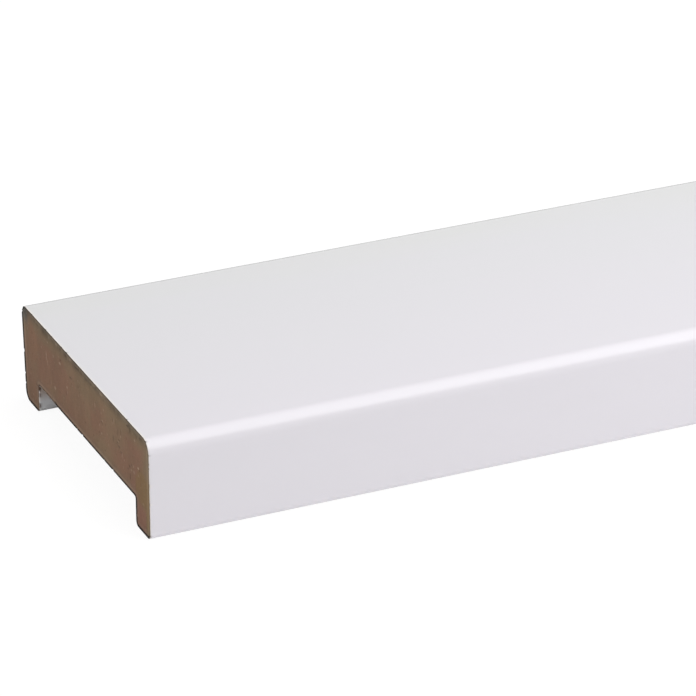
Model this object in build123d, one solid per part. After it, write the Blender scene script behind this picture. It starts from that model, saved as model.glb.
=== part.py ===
from build123d import *
import math
import os

# Window finishing profile: one straight length of moulded fibreboard trim.
# Millimetres. Length along X, visible front edge at -Y, wall-side edge at +Y,
# visible face up (+Z), the two feet and the channel between them down.
# Origin: middle of the length, middle of the width, on the plane of the feet.

# ---- driving dimensions -------------------------------------------------
length = 2600.0          # stock length, sawn square at both ends
width = 92.0             # over everything, front edge to the widest point of the back edge
height = 28.0            # feet to visible face

front_leg = 10.0         # thickness of the leg under the front edge
back_foot = 10.3         # thickness of the leg under the back edge, at its foot
channel_depth = 8.2      # depth of the channel from the plane of the feet
back_rake = 1.5          # the back edge leans in by this much over the height

r_front_top = 4.0        # round between the visible face and the front edge
r_back_top = 3.0         # round between the visible face and the back edge
r_front_foot_out = 2.0   # front foot, outer corner
r_front_foot_in = 1.5    # front foot, channel side
r_back_foot_in = 1.5     # back foot, channel side
r_back_foot_out = 3.0    # back foot, outer corner
r_channel = 0.8          # inner corners of the channel

# ---- section ------------------------------------------------------------
rake = math.atan(back_rake / height)

# The sharp back corner stands out past the rounded edge's widest point, so
# that the finished section is exactly `width` wide.
tangent = r_back_top / math.tan((math.pi / 2 - rake) / 2)
y_front = -width / 2
y_back_top = width / 2 + tangent * math.sin(rake) - r_back_top * (1 - math.cos(rake))
y_back_foot = y_back_top - back_rake
y_channel_front = y_front + front_leg
y_channel_back = y_back_foot - back_foot

corners = [
    ((y_back_top, height), r_back_top),
    ((y_front, height), r_front_top),
    ((y_front, 0.0), r_front_foot_out),
    ((y_channel_front, 0.0), r_front_foot_in),
    ((y_channel_front, channel_depth), r_channel),
    ((y_channel_back, channel_depth), r_channel),
    ((y_channel_back, 0.0), r_back_foot_in),
    ((y_back_foot, 0.0), r_back_foot_out),
]

with BuildPart() as stock:
    with BuildSketch(Plane.YZ.offset(-length / 2)) as section:
        with BuildLine():
            Polyline(*[point for point, radius in corners], close=True)
        make_face()
        for (y, z), radius in corners:
            fillet(section.vertices().sort_by_distance((y, z, 0))[0], radius)
    extrude(amount=length)

profile = stock.part.solids()[0]
profile.label = "profile"

# ---- write the piece ----------------------------------------------------
os.makedirs("parts", exist_ok=True)
export_step(profile, "parts/profile.step")

box = profile.bounding_box()
print("size", round(box.size.X, 4), round(box.size.Y, 4), round(box.size.Z, 4))
print("low", [round(v, 4) for v in (box.min.X, box.min.Y, box.min.Z)],
      "high", [round(v, 4) for v in (box.max.X, box.max.Y, box.max.Z)])
print("volume cm3", round(profile.volume / 1000, 2), "section mm2", round(profile.volume / length, 2))
print("channel from y", round(y_channel_front, 3), "to", round(y_channel_back, 3),
      "; back foot y", round(y_channel_back, 3), "to", round(y_back_foot, 3))
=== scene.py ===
import math

import bpy
import numpy as np
from mathutils import Matrix, Vector, noise
from mathutils.geometry import delaunay_2d_cdt


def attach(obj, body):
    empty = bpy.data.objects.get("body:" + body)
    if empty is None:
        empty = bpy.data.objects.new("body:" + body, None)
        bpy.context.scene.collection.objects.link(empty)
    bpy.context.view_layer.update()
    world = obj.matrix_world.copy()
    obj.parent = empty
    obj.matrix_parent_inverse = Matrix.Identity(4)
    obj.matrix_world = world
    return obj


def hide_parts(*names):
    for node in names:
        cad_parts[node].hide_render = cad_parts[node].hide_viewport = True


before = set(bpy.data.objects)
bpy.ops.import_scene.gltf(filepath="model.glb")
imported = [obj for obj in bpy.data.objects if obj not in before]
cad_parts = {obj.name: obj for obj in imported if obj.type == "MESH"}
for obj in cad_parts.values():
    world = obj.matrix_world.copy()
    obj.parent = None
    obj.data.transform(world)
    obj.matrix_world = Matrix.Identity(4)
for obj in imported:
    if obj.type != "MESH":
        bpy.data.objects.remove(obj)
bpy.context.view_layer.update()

scene = bpy.context.scene
MM = 0.001

# =========================================================================
# Camera: fitted to the outline of the sawn end and to the long edges
# =========================================================================
FOCAL_PX, AZIMUTH, ELEVATION = 4157.29, -0.425023379, 0.44797499
SHIFT = (-69.1606, -31.1280, 1096.009)      # of the near end's middle, in camera axes, mm
right = Vector((math.cos(AZIMUTH), math.sin(AZIMUTH), 0.0))
back = Vector((math.sin(AZIMUTH) * math.cos(ELEVATION), -math.cos(AZIMUTH) * math.cos(ELEVATION), math.sin(ELEVATION)))
up = back.cross(right)
place = (-SHIFT[0] * right - SHIFT[1] * up + SHIFT[2] * back) * MM + Vector((-1.3, 0.0, 0.0))

cam_data = bpy.data.cameras.new("camera")
cam_data.sensor_width = 36.0
cam_data.lens = FOCAL_PX / 696.0 * 36.0
cam_data.clip_start, cam_data.clip_end = 0.05, 400.0
cam = bpy.data.objects.new("camera", cam_data)
scene.collection.objects.link(cam)
cam.matrix_world = Matrix((
    (right.x, up.x, back.x, place.x),
    (right.y, up.y, back.y, place.y),
    (right.z, up.z, back.z, place.z),
    (0.0, 0.0, 0.0, 1.0)))
scene.camera = cam

# =========================================================================
# The section, as the CAD has it (millimetres; y towards the wall, z up)
# =========================================================================
LENGTH, WIDTH, HEIGHT = 2600.0, 92.0, 28.0
RAKE = math.atan(1.5 / HEIGHT)
TANGENT = 3.0 / math.tan((math.pi / 2 - RAKE) / 2)
Y_BACK_TOP = WIDTH / 2 + TANGENT * math.sin(RAKE) - 3.0 * (1 - math.cos(RAKE))
Y_BACK_FOOT = Y_BACK_TOP - 1.5
Y_CHAN_BACK = Y_BACK_FOOT - 10.3
CORNERS = [
    ((Y_BACK_TOP, HEIGHT), 3.0), ((-46.0, HEIGHT), 4.0),
    ((-46.0, 0.0), 2.0), ((-36.0, 0.0), 1.5),
    ((-36.0, 8.2), 0.8), ((Y_CHAN_BACK, 8.2), 0.8),
    ((Y_CHAN_BACK, 0.0), 1.5), ((Y_BACK_FOOT, 0.0), 3.0),
]


def outline(flat_step, arc_step):
    """Points round the section and their outward normals, anticlockwise seen from +X."""
    arcs = []
    for i, (p, radius) in enumerate(CORNERS):
        p = np.array(p)
        e1 = np.array(CORNERS[i - 1][0]) - p
        e2 = np.array(CORNERS[(i + 1) % len(CORNERS)][0]) - p
        e1, e2 = e1 / np.linalg.norm(e1), e2 / np.linalg.norm(e2)
        half = math.acos(float(e1 @ e2)) / 2
        t1, t2 = p + e1 * radius / math.tan(half), p + e2 * radius / math.tan(half)
        mid = e1 + e2
        centre = p + mid / np.linalg.norm(mid) * radius / math.sin(half)
        a1 = math.atan2(*(t1 - centre)[::-1])
        a2 = math.atan2(*(t2 - centre)[::-1])
        sweep = (a2 - a1 + math.pi) % (2 * math.pi) - math.pi
        n = max(5, math.ceil(abs(sweep) * radius / arc_step))
        a = a1 + sweep * np.linspace(0, 1, n + 1)
        ray = np.stack([np.cos(a), np.sin(a)], 1)
        arcs.append((centre + radius * ray, ray * (1 if sweep > 0 else -1)))
    points, normals = [], []
    for i, (pts, nrm) in enumerate(arcs):
        points.append(pts)
        normals.append(nrm)
        start, end = pts[-1], arcs[(i + 1) % len(arcs)][0][0]
        run = end - start
        n = max(2, round(float(np.linalg.norm(run)) / flat_step))
        s = np.linspace(0, 1, n + 1)[1:-1, None]
        points.append(start + s * run)
        normals.append(np.repeat(np.array([[run[1], -run[0]]]) / np.linalg.norm(run), len(s), 0))
    return np.concatenate(points), np.concatenate(normals)


def distance(q, a, b, which=False):
    """Distance of each point of q from the nearest of the segments a-b, and which one that is."""
    out, nearest = np.empty(len(q)), np.empty(len(q), int)
    d = b - a
    dd = (d * d).sum(1)
    for k in range(0, len(q), 1500):
        v = q[k:k + 1500, None, :] - a[None]
        t = np.clip((v * d[None]).sum(2) / dd[None], 0, 1)
        w = v - t[..., None] * d[None]
        ww = (w * w).sum(2)
        nearest[k:k + 1500] = ww.argmin(1)
        out[k:k + 1500] = np.sqrt(ww.min(1))
    return (out, nearest) if which else out


def inside(q, a, b):
    """Even-odd test of each point of q against the closed outline a-b."""
    out = np.empty(len(q), bool)
    for k in range(0, len(q), 1500):
        y, z = q[k:k + 1500, None, 0], q[k:k + 1500, None, 1]
        cross = (a[None, :, 1] > z) != (b[None, :, 1] > z)
        at = a[None, :, 0] + (z - a[None, :, 1]) * (b - a)[None, :, 0] / np.where(b[:, 1] == a[:, 1], 1.0, (b - a)[:, 1])[None]
        out[k:k + 1500] = ((cross & (y < at)).sum(1) % 2) == 1
    return out


RING, NORMAL = outline(0.42, 0.22)
N = len(RING)
NEXT = np.roll(RING, -1, 0)

# the show side: the visible face with its two rounds, and the front edge
SHOW = np.array([(z > 24.0 and n[1] > 0.05) or (y < -45.9) for (y, z), n in zip(RING, NORMAL)])


def around_the_section(values, rounds=4):
    """A weight at each outline point, by which way it faces: up, front, down on a foot, rear, channel roof,
    the channel's wall on the front leg, the one on the back leg."""
    up, front, down, rear, roof, wall_f, wall_b = values
    w = np.empty(N)
    for i, ((y, z), (ny, nz)) in enumerate(zip(RING, NORMAL)):
        channel = -36.2 < y < 34.6 and z < 8.4
        v = up * max(nz, 0) ** 2 + (roof if channel and z > 7 else down) * max(-nz, 0) ** 2
        w[i] = v + (wall_b if channel else front) * max(-ny, 0) ** 2 + (wall_f if channel else rear) * max(ny, 0) ** 2
    for _ in range(rounds):
        w = (np.roll(w, 1) + 2 * w + np.roll(w, -1)) / 4
    return w


#                           up    front  down  rear  roof  wall_f wall_b
OUTLINE_SHADE = around_the_section((0.97, 0.00, 1.00, 0.96, 0.98, 0.98, 0.15))      # painted shade: how dark a stripe is painted along the board's outline, against the coat
HALO = around_the_section((0.14, 0.30, 0.24, 0.28, 0.34, 0.08, 0.10))      # the paler fibres just inside it
REACH = around_the_section((1.08, 1.5, 1.40, 1.75, 1.10, 1.75, 1.5))       # how wide both are
BAND = around_the_section((1.00, 0.00, 0.15, 0.25, 0.10, 0.10, 0.10))      # the dense, darker face of the board
CUT_EDGE_SHADE = around_the_section((0.00, 0.18, 1.00, 1.00, 1.00, 0.95, 0.12))     # painted shade: the coat's white cut edge darkened where it faces away from the light
THICK = around_the_section((0.85, 2.00, 0.85, 0.85, 0.85, 0.85, 2.00))     # thickness of the coat there
PAINTED_ARRIS_GLINT = around_the_section((1.00, 0.15, 0.00, 0.00, 0.00, 0.00, 0.00))     # painted highlight: the coat's arris next to the cut, painted whiter
# towards the back leg the channel's roof edge takes less of the painted shade, and its cut film is brown
ROOF_NEAR_BACK_LEG = np.array([1.0 if 8.1 < z < 8.3 and 22.5 < y < 34.0 else 0.0 for y, z in RING])
for _ in range(8):
    ROOF_NEAR_BACK_LEG = (np.roll(ROOF_NEAR_BACK_LEG, 1) + 2 * ROOF_NEAR_BACK_LEG + np.roll(ROOF_NEAR_BACK_LEG, -1)) / 4
OUTLINE_SHADE, CUT_EDGE_SHADE = OUTLINE_SHADE * (1 - 0.55 * ROOF_NEAR_BACK_LEG), CUT_EDGE_SHADE * (1 - 0.80 * ROOF_NEAR_BACK_LEG)
# painted shade: the round at the top of the rear edge is darkened a little where it turns away from the light
REAR_ROUND_SHADE = np.array([min(max(ny / 0.12, 0), 1) * min(max((0.92 - ny) / 0.2, 0), 1) if z > 24 else 0.0
                   for (y, z), (ny, nz) in zip(RING, NORMAL)])
# at the end a splinter has bared the wall above the nick
TORN = np.array([min(max((z - 6.9) / 0.5, 0), 1) if (y > 32.6 and z < 8.25 and y < 34.5) else 0.0 for y, z in RING])
# painted shade: the coat is darkened and browned towards the channel's inner corners, near the ends
CORNER_SHADE = np.array([min(max((5.0 - min(math.hypot(y + 36.0, z - 8.2), math.hypot(y - Y_CHAN_BACK, z - 8.2))) / 2.8, 0), 1)
                   if -36.1 < y < 34.5 and z < 8.25 else 0.0 for y, z in RING])

# =========================================================================
# The sawn ends: what the saw and the knocks left (millimetres on the end)
# =========================================================================
# y, z, half width, half height, depth, tone (dark -1 to light +1), reddish 0 to 1
MARKS_NEAR = [
    (34.65, 7.10, 0.34, 0.42, 0.40, -1.00, 1.0),     # nick at the channel's back corner, and the scratch from it
    (35.05, 7.55, 0.42, 0.24, 0.20, -0.50, 0.9),
    (35.6, 7.68, 0.42, 0.22, 0.14, -0.36, 0.9),
    (36.2, 7.75, 0.40, 0.20, 0.08, -0.22, 0.8),
    (17.5, 22.3, 0.55, 0.34, 0.00, 0.50, 0.0),
    (17.1, 23.4, 0.45, 0.30, 0.12, -0.40, 0.5),
    (21.7, 13.2, 0.60, 0.45, 0.00, 0.36, 0.0),
    (27.9, 20.0, 0.28, 1.30, 0.00, 0.34, 0.0),
    (26.9, 18.4, 0.24, 0.90, 0.00, 0.24, 0.0),
    (14.5, 27.5, 0.60, 0.26, 0.12, -0.45, 0.1),
    (9.8, 21.5, 0.50, 0.34, 0.10, -0.38, 0.0),
    (8.8, 21.6, 0.32, 0.24, 0.08, -0.30, 0.0),
    (3.6, 26.6, 0.55, 0.30, 0.12, -0.50, 0.1),
    (1.3, 26.4, 0.45, 0.24, 0.10, -0.36, 0.0),
    (-8.8, 26.9, 0.60, 0.30, 0.10, -0.42, 0.0),
    (25.6, 13.3, 0.24, 0.90, 0.06, -0.26, 0.3),
    (24.8, 13.5, 0.20, 0.70, 0.00, 0.22, 0.3),
    (13.3, 15.5, 0.28, 0.70, 0.08, -0.32, 0.8),
    (12.5, 16.0, 0.24, 0.40, 0.00, 0.26, 0.3),
    (-8.1, 21.6, 0.24, 0.70, 0.00, 0.34, 0.2),
    (-11.0, 14.9, 0.24, 0.70, 0.06, -0.26, 0.5),
    (-13.3, 19.3, 0.50, 0.30, 0.00, 0.34, 0.3),
    (-12.7, 18.8, 0.36, 0.26, 0.08, -0.32, 0.6),
    (-21.7, 23.2, 0.22, 0.75, 0.00, 0.26, 0.0),
    (-20.9, 23.0, 0.20, 0.75, 0.06, -0.26, 0.2),
    (-22.6, 23.4, 0.20, 0.60, 0.06, -0.24, 0.2),
    (-31.2, 26.1, 0.95, 0.24, 0.12, -0.50, 0.0),
    (-32.8, 25.6, 0.26, 0.95, 0.12, -0.45, 0.0),
    (-24.2, 21.0, 0.22, 0.95, 0.08, -0.34, 0.2),
    (-26.3, 22.0, 0.22, 0.95, 0.08, -0.30, 0.2),
    (-20.8, 17.8, 0.24, 0.95, 0.08, -0.36, 0.3),
    (-24.9, 19.1, 0.55, 0.26, 0.08, -0.34, 0.0),
    (-24.0, 18.0, 0.45, 0.24, 0.08, -0.32, 0.0),
    (-24.4, 18.6, 0.40, 0.24, 0.00, 0.26, 0.0),
    (-24.8, 17.3, 0.90, 0.24, 0.08, -0.34, 0.0),
    (-26.2, 16.1, 0.50, 0.30, 0.10, -0.34, 0.2),
    (-27.1, 15.8, 0.24, 0.60, 0.00, 0.26, 0.0),
    (-32.1, 15.0, 0.45, 0.34, 0.12, -0.45, 0.4),
    (-31.0, 13.9, 0.34, 0.26, 0.08, -0.34, 0.3),
    (-33.5, 14.5, 0.34, 0.26, 0.00, 0.30, 0.2),
    (-33.4, 16.0, 0.34, 0.28, 0.08, -0.32, 0.3),
    (-38.2, 17.2, 0.36, 0.28, 0.00, 0.90, 0.2),
    (-39.0, 16.9, 0.40, 0.26, 0.10, -0.40, 0.4),
    (-32.4, 12.1, 0.26, 0.95, 0.08, -0.42, 0.7),
    (-37.2, 25.7, 0.28, 0.60, 0.10, -0.38, 0.0),
    (-39.8, 26.4, 0.34, 0.40, 0.10, -0.40, 0.0),
    (-36.1, 24.2, 0.40, 0.28, 0.00, 0.30, 0.0),
    (-44.0, 26.3, 0.34, 0.45, 0.14, -0.60, 0.0),
    (-41.2, 8.4, 0.40, 0.26, 0.00, 0.26, 0.0),
    (27.8, 8.75, 0.40, 0.26, 0.10, -0.40, 0.4),
    (26.0, 8.75, 0.36, 0.24, 0.10, -0.36, 0.4),
    (24.4, 9.2, 0.40, 0.26, 0.10, -0.36, 0.2),
    (21.6, 8.8, 0.60, 0.34, 0.10, -0.42, 0.1),
    (43.9, 26.0, 0.30, 0.34, 0.10, -0.55, 0.0),
    (42.6, 26.3, 0.34, 0.26, 0.00, 0.22, 0.0),
    (41.2, 27.3, 0.45, 0.26, 0.10, -0.60, 0.0),
]
# where the coat has come off its cut edge: y, z, reach along the edge, share of its thickness, dark -1 to bright +1
CHIPS_NEAR = [
    (-46.0, 15.8, 0.45, 0.9, 0.9), (-46.0, 10.4, 0.28, 0.5, 1.0), (-46.0, 20.6, 0.18, 0.4, 0.3),
    (34.365, 7.05, 0.62, 1.0, -1.0), (34.365, 5.3, 0.62, 0.8, -0.80), (34.365, 2.1, 0.75, 1.0, -0.95),
    (34.365, 3.7, 0.50, 0.1, 0.6), (34.365, 6.5, 0.40, 0.1, 0.3),
    (12.0, 28.0, 0.25, 0.5, -0.3), (-9.0, 28.0, 0.20, 0.4, 0.2), (27.5, 28.0, 0.30, 0.5, 0.5), (-31.0, 28.0, 0.25, 0.45, -0.3),
    (45.3, 14.0, 0.35, 0.6, -0.3), (45.0, 7.5, 0.30, 0.6, -0.3), (2.0, 8.2, 0.40, 0.7, -0.3), (-20.0, 8.2, 0.30, 0.6, 0.3),
]


def random_marks(rng, count):
    made = []
    while len(made) < count:
        y, z = rng.uniform(-45, 44), rng.uniform(1, 27)
        if z < 9 and -36.8 < y < 35.2:
            continue
        light = rng.random_sample() < 0.45
        made.append((y, z, rng.uniform(0.16, 0.42), rng.uniform(0.16, 0.40), 0.0 if light else rng.uniform(0.03, 0.12),
                     rng.uniform(0.12, 0.38) if light else -rng.uniform(0.10, 0.32), rng.uniform(0, 0.5)))
    return made


def top_dashes(rng, count):
    """Short torn places just under the coat of the visible face."""
    made = []
    for k in range(count):
        y = -42.0 + 84.0 * (k + rng.uniform(0.1, 0.9)) / count
        light = rng.random_sample() < 0.3
        made.append((y, 27.45 - rng.uniform(0.3, 1.3), rng.uniform(0.45, 1.10), rng.uniform(0.22, 0.34), 0.0 if light else rng.uniform(0.04, 0.12),
                     rng.uniform(0.15, 0.35) if light else -rng.uniform(0.25, 0.60), rng.uniform(0, 0.4)))
    return made


def random_chips(rng, count):
    i = rng.randint(0, N, count)
    return [(RING[k, 0], RING[k, 1], rng.uniform(0.12, 0.32), rng.uniform(0.3, 0.7), rng.uniform(-0.4, 0.3)) for k in i]


def n3(y, z, s, fy, fz):
    return np.array([noise.noise((float(a) * fy, float(b) * fz, s)) for a, b in zip(y, z)])


COAT = 0.12          # thickness of the white film at the cut, mm


def end_cap(seed, marks, chips):
    """One sawn end. Rings from the outside in, each (y, z, depth), then the inner points and triangles."""
    rng = np.random.RandomState(seed)
    lost, chip = np.zeros(N), np.zeros(N)
    for y, z, reach, share, t in chips:
        d = np.hypot(RING[:, 0] - y, RING[:, 1] - z)
        s = np.clip(1.3 - d / reach, 0, 1) ** 0.6
        lost = np.maximum(lost, share * s)
        chip = np.where(np.abs(t) * s > np.abs(chip), t * s, chip)
    wob = n3(RING[:, 0], RING[:, 1], seed * 3.1, 0.9, 0.9) * 0.6 + n3(RING[:, 0], RING[:, 1], seed * 5.7, 3.1, 3.1) * 0.5
    fine = n3(RING[:, 0], RING[:, 1], seed * 7.3, 6.0, 6.0)
    uneven = 1 + (0.15 + 0.55 * PAINTED_ARRIS_GLINT) * (1.1 * n3(RING[:, 0], RING[:, 1], seed * 9.1, 0.28, 0.28) + wob)
    patches = np.clip(1 + 1.3 * n3(RING[:, 0], RING[:, 1], seed * 4.7, 0.24, 0.24) + 0.9 * n3(RING[:, 0], RING[:, 1], seed * 6.1, 0.7, 0.7), 0.1, 2.0)
    crisp = 1 - 0.6 * CUT_EDGE_SHADE
    thick = COAT * THICK * (1 + 0.30 * wob)
    step = np.maximum(thick, 0.10)
    rings = []
    # the arris, the cut edge of the film, and the step down to the board; each with how much painted shade it takes
    # painted shade along the cut edge and the outline, made patchy
    edge_shade, outline_shade = np.clip(CUT_EDGE_SHADE * uneven, 0, 1), np.clip(OUTLINE_SHADE * uneven, 0, 1)
    rings.append((RING - NORMAL * (0.010 * crisp + 0.07 * lost)[:, None], (0.10 + 0.02 * np.abs(fine)) * crisp + 0.32 * lost, edge_shade))
    rings.append((RING - NORMAL * (0.030 * crisp + 0.08 * lost)[:, None], (0.035 + 0.015 * np.abs(fine)) * crisp + 0.36 * lost, edge_shade))
    rings.append((RING - NORMAL * (0.055 * crisp + 0.07 * lost)[:, None], 0.0 + 0.38 * lost + 0.010 * np.abs(wob), np.maximum(edge_shade, 0.5 * outline_shade)))
    rings.append((RING - NORMAL * np.maximum(step, 0.10 + 0.04 * lost)[:, None], 0.004 + 0.28 * lost + 0.010 * np.abs(fine), np.maximum(edge_shade, outline_shade)))
    inner_edge_shade = np.zeros(N) + np.maximum(edge_shade, outline_shade)
    border = RING - NORMAL * (step + 0.045)[:, None]

    pitch = 0.31
    rows = np.arange(0.2, 28, pitch * math.sqrt(3) / 2)
    grid = []
    for k, z in enumerate(rows):
        y = np.arange(-46, 46.3, pitch) + (pitch / 2 if k % 2 else 0)
        grid.append(np.stack([y, np.full_like(y, z)], 1))
    grid = np.concatenate(grid)
    grid = grid + rng.uniform(-0.055, 0.055, grid.shape)
    after = np.roll(border, -1, 0)
    keep = inside(grid, border, after)
    grid = grid[keep]
    grid = grid[distance(grid, border, after) > 0.19]
    pts = np.concatenate([border, grid])
    loop = [(i, (i + 1) % N) for i in range(N)]
    v, _, faces, orig, _, _ = delaunay_2d_cdt([Vector(p) for p in pts], loop, [list(range(N))], 1, 1e-7)
    if len(v) != len(pts) or any(len(o) != 1 for o in orig):
        raise RuntimeError("the end's triangles didn't keep its points")
    back_to = [o[0] for o in orig]
    tris = np.array([[back_to[i] for i in f] for f in faces])
    a, b, c = pts[tris[:, 0]], pts[tris[:, 1]], pts[tris[:, 2]]
    area = (b[:, 0] - a[:, 0]) * (c[:, 1] - a[:, 1]) - (b[:, 1] - a[:, 1]) * (c[:, 0] - a[:, 0])
    tris[area < 0] = tris[area < 0][:, ::-1]

    y, z = pts[:, 0], pts[:, 1]
    rim, at = distance(pts, RING, NEXT, True)
    outline_shade, halo = outline_shade[at], HALO[at]
    band_reach = BAND[at] * (1 + 0.35 * np.clip((y - 4) / 34, 0, 1)) * patches[at]
    edge = np.maximum(rim - step[at] + 0.10, 0.0) / REACH[at]
    show = distance(pts, RING[SHOW], NEXT[SHOW])
    # saw marks up and down the end, the cut fibres, a slight hollow at the border
    saw = 0.5 * n3(y, z, seed + 0.3, 1.25, 0.035) + 0.35 * n3(y, z, seed + 4.3, 3.0, 0.06) + 0.25 * n3(y, z, seed + 8.1, 0.33, 0.02)
    fuzz = n3(y, z, seed + 11.0, 2.3, 2.6) * 0.5 + n3(y, z, seed + 17.0, 0.8, 1.1) * 0.4
    grit = rng.uniform(-1, 1, len(pts))
    depth = 0.085 + 0.009 * saw + 0.028 * fuzz + 0.012 * grit + 0.035 * outline_shade * np.exp(-((rim - 0.35) / 0.3) ** 2)
    tone, red = np.zeros(len(pts)), np.zeros(len(pts))
    for my, mz, wy, wz, deep, t, r in marks:
        s = np.clip(1.5 - np.hypot((y - my) / wy, (z - mz) / wz), 0, 1)
        s = s * s * (3 - 2 * s)
        depth += deep * s
        depth -= 0.03 * s * (t > 0)
        tone = np.where(np.abs(t) * s > np.abs(tone), t * s, tone)
        red = np.maximum(red, r * s)
    depth = np.maximum(depth, 0.012)
    soiled = np.zeros(len(pts))
    soiled[:N] = inner_edge_shade
    return {"rings": rings, "pts": pts, "soiled": soiled, "tris": tris, "depth": depth, "chip": chip, "rim": rim, "edge": edge,
            "show": show, "tone": tone, "red": red, "outline_shade": outline_shade, "halo": halo, "band": band_reach}


# =========================================================================
# The piece: one closed skin, long faces and both sawn ends
# =========================================================================
near = end_cap(3, [m[:5] + (max(-1.0, m[5] * (1.5 if m[0] > 34 and m[1] < 8 else 1.05 if m[5] > 0 else 1.2)),) + m[6:] for m in MARKS_NEAR]
               + random_marks(np.random.RandomState(31), 90) + top_dashes(np.random.RandomState(33), 24),
               CHIPS_NEAR + random_chips(np.random.RandomState(32), 16))
far = end_cap(8, random_marks(np.random.RandomState(81), 130) + top_dashes(np.random.RandomState(83), 24), random_chips(np.random.RandomState(82), 34))

steps = [0.20, 0.34, 0.6, 1.1, 2.0, 3.6, 6.5, 12, 22, 40, 72, 130, 210, 320, 460, 630, 830, 1060]
stations = [-1300 + s for s in steps] + [0.0] + [1300 - s for s in reversed(steps)]

BOARD_LAYERS = ("rim", "edge", "show", "tone", "red", "outline_shade", "halo", "band")
co, layers = [], {k: [] for k in BOARD_LAYERS + ("soiled", "chipped", "glint", "greyed", "corner", "torn")}


def add(points, x, **values):
    start = sum(len(c) for c in co)
    x = np.broadcast_to(np.asarray(x, float), (len(points),))
    co.append(np.column_stack([x, points]) * MM)
    for k in layers:
        layers[k].append(np.broadcast_to(np.asarray(values.get(k, 0.0), float), (len(points),)))
    return start


faces, kinds = [], []        # kind 0 long faces, 1 the cut film, 2 the board; plus 10 on the far end


def band(a, b, flip, kind):
    for i in range(N):
        j = (i + 1) % N
        faces.append((a + i, b + i, b + j, a + j) if flip else (a + i, a + j, b + j, b + i))
        kinds.append(kind)


rings_at = []
for x in stations:
    cap, off = (near, x + 1300) if x < 0 else (far, 1300 - x)
    # how much of the painted arris highlight each ring next to the cut takes
    close = float(np.interp(off, (0.20, 0.34, 0.6), (1.0, 0.55, 0.0)))
    rings_at.append(add(RING, x, chipped=cap["chip"] * float(np.interp(off, (0.20, 0.34, 0.7), (1.0, 0.8, 0.0))),
                        glint=PAINTED_ARRIS_GLINT * close, greyed=REAR_ROUND_SHADE, torn=TORN * float(np.interp(off, (2.0, 6.5), (1.0, 0.0))) * (x < 0), corner=CORNER_SHADE * float(np.interp(off, (4.0, 16.0), (1.0, 0.0)))))
for a, b in zip(rings_at, rings_at[1:]):
    band(a, b, False, 0)
sharp = set()
for cap, x0, inward, first, mark in ((near, -1300.0, 1, rings_at[0], 0), (far, 1300.0, -1, rings_at[-1], 10)):
    last = first
    for pts, depth, soiled in cap["rings"]:
        at = add(pts, x0 + inward * depth, soiled=soiled, chipped=cap["chip"], greyed=REAR_ROUND_SHADE, corner=CORNER_SHADE, torn=np.maximum(TORN, 0.9 * ROOF_NEAR_BACK_LEG) * (x0 < 0))
        band(last, at, inward > 0, 1 + mark)
        last = at
    inner = add(cap["pts"], x0 + inward * cap["depth"], **{k: cap[k] for k in BOARD_LAYERS + ("soiled",)})
    band(last, inner, inward > 0, 1 + mark)
    for i in range(N):
        sharp.add((min(last + i, last + (i + 1) % N), max(last + i, last + (i + 1) % N)))
        sharp.add((min(inner + i, inner + (i + 1) % N), max(inner + i, inner + (i + 1) % N)))
    for t in cap["tris"]:
        t = [int(k) + inner for k in t]
        faces.append(tuple(t[::-1]) if inward > 0 else tuple(t))
        kinds.append(2 + mark)

co = np.concatenate(co)
mesh = bpy.data.meshes.new("profile_stock")
mesh.from_pydata(co.tolist(), [], faces)
kinds = np.array(kinds)
mesh.polygons.foreach_set("use_smooth", np.ones(len(faces), bool))
mesh.polygons.foreach_set("material_index", (kinds % 10 == 2).astype(np.int32))
for name, parts in layers.items():
    attribute = mesh.attributes.new(name, "FLOAT", "POINT")
    attribute.data.foreach_set("value", np.concatenate(parts).astype(np.float32))
film = mesh.attributes.new("cut_film", "FLOAT", "POINT")
flags = np.zeros(len(co), np.float32)
flags[rings_at[-1] + N:] = 1.0
film.data.foreach_set("value", flags)
edge_keys = np.empty(len(mesh.edges) * 2, np.int32)
mesh.edges.foreach_get("vertices", edge_keys)
edge_keys = np.sort(edge_keys.reshape(-1, 2), 1)
mark = mesh.attributes.new("sharp_edge", "BOOLEAN", "EDGE")
mark.data.foreach_set("value", np.array([tuple(e) in sharp for e in edge_keys.tolist()], bool))

# A map for baking: both ends large, the long faces unrolled below them
uv = mesh.uv_layers.new(name="OFBake")
loop_v = np.empty(len(mesh.loops), np.int32)
mesh.loops.foreach_get("vertex_index", loop_v)
loop_total = np.empty(len(mesh.polygons), np.int32)
mesh.polygons.foreach_get("loop_total", loop_total)
loop_kind = np.repeat(kinds, loop_total)
p = co[loop_v] / MM
coords = np.zeros((len(loop_v), 2))
arc = np.concatenate([[0], np.cumsum(np.linalg.norm(NEXT - RING, axis=1))])
total = arc[-1]
cut_at = int(np.argmin(np.hypot(RING[:, 0], RING[:, 1] - 8.2)))      # the seam runs up the channel's middle
around = (arc[:-1] - arc[cut_at]) % total
ring_no = np.full(len(co), -1)
for a in rings_at:
    ring_no[a:a + N] = np.arange(N)
long_loops = loop_kind == 0
v = np.where(ring_no[loop_v] >= 0, around[ring_no[loop_v]], 0.0)
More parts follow.
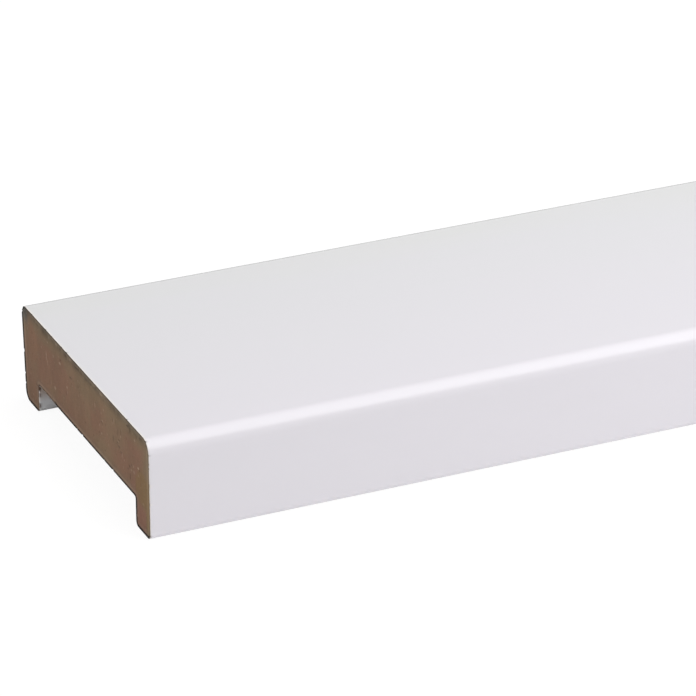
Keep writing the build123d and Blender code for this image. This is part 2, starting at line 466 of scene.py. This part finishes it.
# a face whose loops straddle the seam takes the far side of it
face_of_loop = np.repeat(np.arange(len(faces)), loop_total)
most = np.zeros(len(faces))
np.maximum.at(most, face_of_loop, v)
v = np.where(long_loops & (most[face_of_loop] > total * 0.9) & (v < total * 0.1), total, v)
coords[long_loops, 0] = 0.01 + 0.98 * (p[long_loops, 0] + 1300) / 2600
coords[long_loops, 1] = 0.01 + 0.33 * v[long_loops] / total
for kind, base, side in ((0, 0.36, -1), (10, 0.68, 1)):
    m = (loop_kind == 1 + kind) | (loop_kind == 2 + kind)
    coords[m, 0] = 0.5 + side * 0.98 * p[m, 1] / 93.0
    coords[m, 1] = base + 0.98 * p[m, 2] / 93.0
uv.data.foreach_set("uv", coords.ravel())
mesh.update()

stock = bpy.data.objects.new("profile_stock", mesh)
scene.collection.objects.link(stock)

# =========================================================================
# Materials
# =========================================================================


class Nodes:
    """Short calls for building a node tree."""

    def __init__(self, tree):
        self.tree = tree
        tree.nodes.clear()

    def new(self, kind, **props):
        node = self.tree.nodes.new(kind)
        for k, v in props.items():
            setattr(node, k, v)
        return node

    def put(self, socket, value):
        if isinstance(value, bpy.types.NodeSocket):
            self.tree.links.new(value, socket)
        elif value is not None:
            socket.default_value = value

    def math(self, op, a, b=None, c=None, clamp=False):
        node = self.new("ShaderNodeMath", operation=op, use_clamp=clamp)
        for socket, value in zip(node.inputs, (a, b, c)):
            self.put(socket, value)
        return node.outputs[0]

    def ramp(self, value, lo, hi, out_lo=0.0, out_hi=1.0, smooth=True):
        node = self.new("ShaderNodeMapRange", interpolation_type="SMOOTHSTEP" if smooth else "LINEAR")
        self.put(node.inputs["Value"], value)
        for name, v in (("From Min", lo), ("From Max", hi), ("To Min", out_lo), ("To Max", out_hi)):
            self.put(node.inputs[name], v)
        return node.outputs[0]

    def mix(self, factor, a, b, blend="MIX"):
        node = self.new("ShaderNodeMix", data_type="RGBA", blend_type=blend)
        self.put(node.inputs["Factor"], factor)
        self.put(node.inputs[6], a)
        self.put(node.inputs[7], b)
        return node.outputs[2]

    def attr(self, name):
        return self.new("ShaderNodeAttribute", attribute_name=name).outputs["Fac"]

    def coords(self, scale):
        texcoord = self.new("ShaderNodeTexCoord")
        mapping = self.new("ShaderNodeMapping")
        self.put(mapping.inputs["Vector"], texcoord.outputs["Object"])
        mapping.inputs["Scale"].default_value = scale
        return mapping.outputs[0]

    def noise(self, scale, detail=2.0, rough=0.5, size=1.0):
        """Noise with features of about size, in 1/scale metres along each axis."""
        node = self.new("ShaderNodeTexNoise")
        self.put(node.inputs["Vector"], self.coords(scale))
        node.inputs["Scale"].default_value = size
        node.inputs["Detail"].default_value = detail
        node.inputs["Roughness"].default_value = rough
        return node.outputs["Fac"]


def material(name):
    m = bpy.data.materials.new(name)
    m.use_nodes = True
    n = Nodes(m.node_tree)
    out = n.new("ShaderNodeOutputMaterial")
    shader = n.new("ShaderNodeBsdfPrincipled")
    n.tree.links.new(shader.outputs[0], out.inputs["Surface"])
    return m, n, shader


# ---- white satin coat ----
coat, n, shader = material("white_satin_coat")
cloud = n.noise((7.0, 22.0, 22.0), 2.0, 0.5)
streak = n.noise((16.0, 210.0, 210.0), 3.0, 0.55)
peel = n.noise((420.0, 420.0, 420.0), 2.0, 0.5)
# the white drifts from a cool tint at the front edge to a neutral one at the rear
axes = n.new("ShaderNodeSeparateXYZ")
n.put(axes.inputs[0], n.coords((1.0, 1.0, 1.0)))
across = n.math("ADD", axes.outputs[1], n.math("MULTIPLY", n.math("SUBTRACT", cloud, 0.5), 0.03))
tint = n.mix(n.ramp(across, -0.050, -0.030), (0.811, 0.785, 0.832, 1), (0.800, 0.780, 0.821, 1))
tint = n.mix(n.ramp(across, -0.030, 0.030, smooth=False), tint, (0.787, 0.783, 0.802, 1))
tint = n.mix(n.ramp(across, 0.026, 0.042), tint, (0.782, 0.784, 0.781, 1))
tint = n.mix(n.ramp(streak, 0.3, 0.7, 0.0, 0.25), tint, (0.796, 0.776, 0.812, 1))
# painted shade on the round at the top of the rear edge
tint = n.mix(n.math("MULTIPLY", n.attr("greyed"), 0.17), tint, (0.10, 0.10, 0.105, 1))
# painted shade towards the channel's inner corners
tint = n.mix(n.math("MULTIPLY", n.attr("corner"), 0.62), tint, (0.36, 0.225, 0.135, 1))
film_edge, soiled, chipped = n.attr("cut_film"), n.attr("soiled"), n.attr("chipped")
# the white of the coat's cut film, and a painted highlight: the same white laid on the arris next to the cut
tint = n.mix(n.math("MAXIMUM", film_edge, n.attr("glint")), tint, (0.90, 0.85, 0.815, 1))
tint = n.mix(n.math("MULTIPLY", n.attr("torn"), 0.92), tint, (0.200, 0.128, 0.084, 1))
# painted shade: the cut edge darkened nearly to black on its shaded sides
tint = n.mix(n.math("MULTIPLY", soiled, 0.95), tint, (0.034, 0.022, 0.012, 1))
tint = n.mix(n.ramp(chipped, 0.0, 1.0, 0.0, 1.0, False), tint, (0.88, 0.85, 0.82, 1))
tint = n.mix(n.ramp(chipped, 0.0, -1.0, 0.0, 1.0, False), tint, (0.060, 0.022, 0.014, 1))
n.put(shader.inputs["Base Color"], tint)
rough = n.math("ADD", n.ramp(streak, 0.25, 0.75, 0.185, 0.225), n.ramp(cloud, 0.3, 0.7, 0.0, 0.03))
rough = n.math("ADD", rough, n.math("MULTIPLY", film_edge, 0.15))
n.put(shader.inputs["Roughness"], rough)
# less reflection on the painted shade of the cut edge and the corners, and where the wall is bared
dull = n.math("MAXIMUM", n.math("MAXIMUM", soiled, n.attr("torn")), n.math("MULTIPLY", n.attr("corner"), 0.6))
n.put(shader.inputs["Specular IOR Level"], n.ramp(dull, 0.0, 1.0, 0.5, 0.05, False))
shader.inputs["IOR"].default_value = 1.5
bump = n.new("ShaderNodeBump")
bump.inputs["Strength"].default_value = 0.25
bump.inputs["Distance"].default_value = 0.00002
height = n.math("ADD", n.math("MULTIPLY", peel, 0.6), n.math("MULTIPLY", streak, 0.8))
n.put(bump.inputs["Height"], height)
n.put(shader.inputs["Normal"], bump.outputs[0])

# ---- sawn medium-density fibreboard ----
board, n, shader = material("sawn_fibreboard")
rim, edge, show = n.attr("rim"), n.attr("edge"), n.attr("show")
tone, red = n.attr("tone"), n.attr("red")
outline_shade, halo, band_reach = n.attr("outline_shade"), n.attr("halo"), n.attr("band")
patchy = n.noise((1.0, 150.0, 190.0), 3.0, 0.55)
patchy2 = n.noise((1.0, 46.0, 38.0), 1.0, 0.5)
density = n.noise((1.0, 100.0, 62.0), 3.0, 0.6)
saw = n.noise((1.0, 1300.0, 90.0), 2.0, 0.6)
fibre = n.noise((1.0, 2300.0, 2100.0), 3.0, 0.65)
speck = n.noise((1.0, 1500.0, 1700.0), 1.0, 0.5)

RED_BROWN, OLIVE_BROWN, MID_BROWN = (0.246, 0.133, 0.084, 1), (0.206, 0.146, 0.084, 1), (0.234, 0.139, 0.085, 1)
colour = n.mix(n.ramp(patchy2, 0.36, 0.60), MID_BROWN, RED_BROWN)
colour = n.mix(n.ramp(patchy, 0.45, 0.70, 0.0, 0.35), colour, OLIVE_BROWN)
near_show = n.math("MULTIPLY", n.ramp(show, 1.0, 7.5, 1.0, 0.0), n.ramp(patchy2, 0.25, 0.6, 0.45, 0.95))
colour = n.mix(near_show, colour, OLIVE_BROWN)
axes = n.new("ShaderNodeSeparateXYZ")
n.put(axes.inputs[0], n.coords((1000.0, 1000.0, 1000.0)))
side_x, side_y, side_z = axes.outputs


def patch(y, z, ry, rz, strength):
    """A soft-edged patch on the near end, centred at (y, z) mm."""
    dy = n.math("DIVIDE", n.math("SUBTRACT", side_y, y), ry)
    dz = n.math("DIVIDE", n.math("SUBTRACT", side_z, z), rz)
    far_from = n.math("ADD", n.math("SQRT", n.math("ADD", n.math("MULTIPLY", dy, dy), n.math("MULTIPLY", dz, dz))),
                      n.math("MULTIPLY", n.math("SUBTRACT", patchy, 0.5), 1.6))
    return n.math("MULTIPLY", n.ramp(far_from, 0.55, 1.15, strength, 0.0), n.ramp(side_x, -50.0, 50.0, 1.0, 0.0))


colour = n.mix(patch(-21.9, 21.0, 8.5, 6.5, 0.50), colour, OLIVE_BROWN)
colour = n.mix(patch(-13.7, 11.0, 7.0, 3.6, 0.45), colour, OLIVE_BROWN)
colour = n.mix(patch(-2.0, 23.0, 9.0, 4.5, 0.40), colour, OLIVE_BROWN)
colour = n.mix(patch(-29.0, 13.5, 8.0, 4.5, 0.50), colour, RED_BROWN)
colour = n.mix(patch(-8.0, 16.5, 6.0, 4.0, 0.50), colour, RED_BROWN)
colour = n.mix(patch(17.0, 19.5, 7.0, 4.5, 0.55), colour, RED_BROWN)
colour = n.mix(patch(37.5, 19.0, 5.0, 6.0, 0.60), colour, (0.250, 0.136, 0.080, 1))
# an ochre patch where the front leg meets the face, and down its front border
ochre = n.math("MULTIPLY", n.ramp(side_y, -44.8, -42.0, 1.0, 0.0), n.math("MULTIPLY", n.ramp(side_z, 1.0, 4.0), n.ramp(side_z, 12.0, 19.0, 1.0, 0.0)))
blob = patch(-41.0, 12.5, 4.4, 6.4, 0.9)
colour = n.mix(n.math("MULTIPLY", n.math("MAXIMUM", ochre, blob), 0.80), colour, (0.226, 0.140, 0.060, 1))
# the foot of the front leg is redder, the corner at the top of the rear edge a bluish grey
foot = n.math("MULTIPLY", n.ramp(side_z, 5.5, 8.5, 1.0, 0.0), n.math("MULTIPLY", n.ramp(side_y, -43.6, -42.4), n.ramp(side_y, -36.0, -35.0, 1.0, 0.0)))
colour = n.mix(n.math("MULTIPLY", foot, 0.8), colour, (0.270, 0.134, 0.092, 1))
corner = n.math("MULTIPLY", n.ramp(side_y, 40.5, 43.2), n.ramp(side_z, 22.0, 25.5))
colour = n.mix(n.math("MULTIPLY", corner, 0.75), colour, (0.096, 0.098, 0.090, 1))
# next to the coat the fibres are greyer
colour = n.mix(n.ramp(rim, 0.7, 2.8, 0.30, 0.0), colour, (0.158, 0.142, 0.120, 1))
# the hard-pressed face of the board is darker; against the coat a dark stripe is painted as the shade at the cut's
# edges
dark = n.math("SUBTRACT", 1.0, n.math("MULTIPLY", band_reach, n.ramp(rim, 1.2, 3.8, 0.17, 0.0)))
dark = n.math("MULTIPLY", dark, n.math("SUBTRACT", 1.0, n.math("MULTIPLY", outline_shade, n.ramp(edge, 0.32, 0.52, 0.95, 0.0))))
pale = n.math("MULTIPLY", n.ramp(edge, 0.46, 0.76), n.ramp(edge, 0.95, 1.50, 1.0, 0.0))
dark = n.math("MULTIPLY", dark, n.math("ADD", 1.0, n.math("MULTIPLY", halo, pale)))
dark = n.math("MULTIPLY", dark, n.ramp(saw, 0.3, 0.7, 0.991, 1.009))
dark = n.math("MULTIPLY", dark, n.ramp(density, 0.3, 0.7, 0.93, 1.07))
dark = n.math("MULTIPLY", dark, n.ramp(side_y, -8.0, 22.0, 1.02, 0.945))
dark = n.math("MULTIPLY", dark, n.ramp(patchy2, 0.3, 0.7, 1.02, 0.98))
dark = n.math("MULTIPLY", dark, n.ramp(fibre, 0.3, 0.7, 0.935, 1.065))
dark = n.math("MULTIPLY", dark, n.ramp(speck, 0.26, 0.34, 0.86, 1.0))
scale = n.new("ShaderNodeVectorMath", operation="SCALE")
n.put(scale.inputs[0], colour)
n.put(scale.inputs["Scale"], dark)
colour = scale.outputs[0]
colour = n.mix(n.ramp(speck, 0.68, 0.76, 0.0, 0.25), colour, (0.38, 0.27, 0.19, 1))
colour = n.mix(n.math("MULTIPLY", n.ramp(tone, 0.0, 1.0, 0.0, 1.0, False), 0.9), colour, (0.52, 0.38, 0.28, 1))
dip = n.mix(red, (0.045, 0.036, 0.028, 1), (0.085, 0.018, 0.010, 1))
colour = n.mix(n.ramp(tone, 0.0, -1.0, 0.0, 1.0, False), colour, dip)
n.put(shader.inputs["Base Color"], colour)
n.put(shader.inputs["Roughness"], n.ramp(fibre, 0.25, 0.75, 0.78, 0.95))
shader.inputs["Specular IOR Level"].default_value = 0.3
bump = n.new("ShaderNodeBump")
bump.inputs["Strength"].default_value = 0.6
bump.inputs["Distance"].default_value = 0.00006
height = n.math("ADD", n.math("MULTIPLY", fibre, 0.8), n.math("MULTIPLY", saw, 0.15))
n.put(bump.inputs["Height"], height)
n.put(shader.inputs["Normal"], bump.outputs[0])

mesh.materials.append(coat)
mesh.materials.append(board)

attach(stock, "root")
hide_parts("profile")

# =========================================================================
# Floor and light
# =========================================================================
floor_mesh = bpy.data.meshes.new("floor")
S = 90.0
floor_mesh.from_pydata([(-S, -S, 0), (S, -S, 0), (S, S, 0), (-S, S, 0)], [], [(0, 1, 2, 3)])
floor = bpy.data.objects.new("floor", floor_mesh)
scene.collection.objects.link(floor)
paper = bpy.data.materials.new("floor_white")
paper.use_nodes = True
n = Nodes(paper.node_tree)
out = n.new("ShaderNodeOutputMaterial")
lit = n.new("ShaderNodeBsdfDiffuse")
lit.inputs["Color"].default_value = (0.80, 0.80, 0.80, 1)
pale = n.new("ShaderNodeBsdfDiffuse")
pale.inputs["Color"].default_value = (0.13, 0.13, 0.13, 1)
glow = n.new("ShaderNodeEmission")
glow.inputs["Color"].default_value = (1, 1, 1, 1)
glow.inputs["Strength"].default_value = 0.915
both = n.new("ShaderNodeAddShader")
n.tree.links.new(pale.outputs[0], both.inputs[0])
n.tree.links.new(glow.outputs[0], both.inputs[1])
# the white ground throws light up under the round of the front foot
axes = n.new("ShaderNodeSeparateXYZ")
n.put(axes.inputs[0], n.coords((1000.0, 1000.0, 1000.0)))
strip = n.math("MULTIPLY", n.ramp(axes.outputs[1], -49.0, -47.2), n.ramp(axes.outputs[1], -44.0, -42.0, 0.18, 0.0))
strip = n.math("MULTIPLY", strip, n.ramp(axes.outputs[0], -1302.0, -1299.0))
bounce = n.new("ShaderNodeEmission")
n.put(bounce.inputs["Strength"], strip)
thrown = n.new("ShaderNodeAddShader")
n.tree.links.new(lit.outputs[0], thrown.inputs[0])
n.tree.links.new(bounce.outputs[0], thrown.inputs[1])
path = n.new("ShaderNodeLightPath")
pick = n.new("ShaderNodeMixShader")
n.tree.links.new(path.outputs["Is Camera Ray"], pick.inputs[0])
n.tree.links.new(thrown.outputs[0], pick.inputs[1])
n.tree.links.new(both.outputs[0], pick.inputs[2])
n.tree.links.new(pick.outputs[0], out.inputs["Surface"])
floor_mesh.materials.append(paper)

# Soft studio light: one large overhead softbox that reaches to the front, a
# dimmer room round it, and two long panels over the piece.
BOX, FRONT, REAR, LEFT = 1.655, 0.256, 0.436, 0.757
for name, (aim_y, aim_z), lean, far_off, across, x0, radiance in (
        ("panel_front", (-0.046, 0.026), 42.7, 0.42, 0.1765, -1.171, 1.123),
        ("panel_over", (0.0, 0.028), 20.2, 0.36, 0.227, -1.222, 0.649)):
    lamp = bpy.data.lights.new(name, "AREA")
    lamp.shape = "RECTANGLE"
    lamp.size, lamp.size_y = 1.30 - x0, across
    lamp.energy = math.pi * lamp.size * lamp.size_y * radiance
    tilt = math.radians(lean)
    o = bpy.data.objects.new(name, lamp)
    o.location = ((x0 + 1.30) / 2, aim_y - far_off * math.sin(tilt), aim_z + far_off * math.cos(tilt))
    o.rotation_euler = (tilt, 0.0, 0.0)
    o.visible_camera = False
    scene.collection.objects.link(o)

world = bpy.data.worlds.new("studio")
scene.world = world
world.use_nodes = True
n = Nodes(world.node_tree)
out = n.new("ShaderNodeOutputWorld")
texcoord = n.new("ShaderNodeTexCoord")
split = n.new("ShaderNodeSeparateXYZ")
n.put(split.inputs[0], texcoord.outputs["Generated"])
dx, dy, dz = split.outputs
lean = n.math("MULTIPLY", n.math("ARCTAN2", n.math("MULTIPLY", dy, -1.0), dz), 180 / math.pi)
side = n.math("MULTIPLY", n.math("ARCSINE", dx), 180 / math.pi)
box = n.math("MULTIPLY", n.ramp(lean, -30.0, -22.0), n.ramp(lean, 56.0, 64.0, 1.0, 0.0))
box = n.math("MULTIPLY", box, n.math("MULTIPLY", n.ramp(side, -12.0, 4.0), n.ramp(side, 40.0, 54.0, 1.0, 0.0)))
level = None
for name, strength, mask in (
        ("box", BOX, box),
        ("front", FRONT, n.ramp(dy, 0.1, -0.9)),
        ("rear", REAR, n.ramp(dy, -0.1, 0.9)),
        ("left", LEFT, n.ramp(dx, 0.1, -0.9))):
    term = n.new("ShaderNodeMath", operation="MULTIPLY", name="light_" + name)
    n.put(term.inputs[0], mask)
    n.put(term.inputs[1], strength)
    level = term.outputs[0] if level is None else n.math("ADD", level, term.outputs[0])
light = n.new("ShaderNodeBackground")
light.inputs["Color"].default_value = (1, 1, 1, 1)
n.put(light.inputs["Strength"], level)
plain = n.new("ShaderNodeBackground")
plain.inputs["Color"].default_value = (1, 1, 1, 1)
plain.inputs["Strength"].default_value = 1.05
path = n.new("ShaderNodeLightPath")
pick = n.new("ShaderNodeMixShader")
n.tree.links.new(path.outputs["Is Camera Ray"], pick.inputs[0])
n.tree.links.new(light.outputs[0], pick.inputs[1])
n.tree.links.new(plain.outputs[0], pick.inputs[2])
n.tree.links.new(pick.outputs[0], out.inputs["Surface"])

scene.view_settings.view_transform = "Standard"
scene.view_settings.look = "None"
scene.view_settings.exposure = 0.0
scene.view_settings.gamma = 1.0
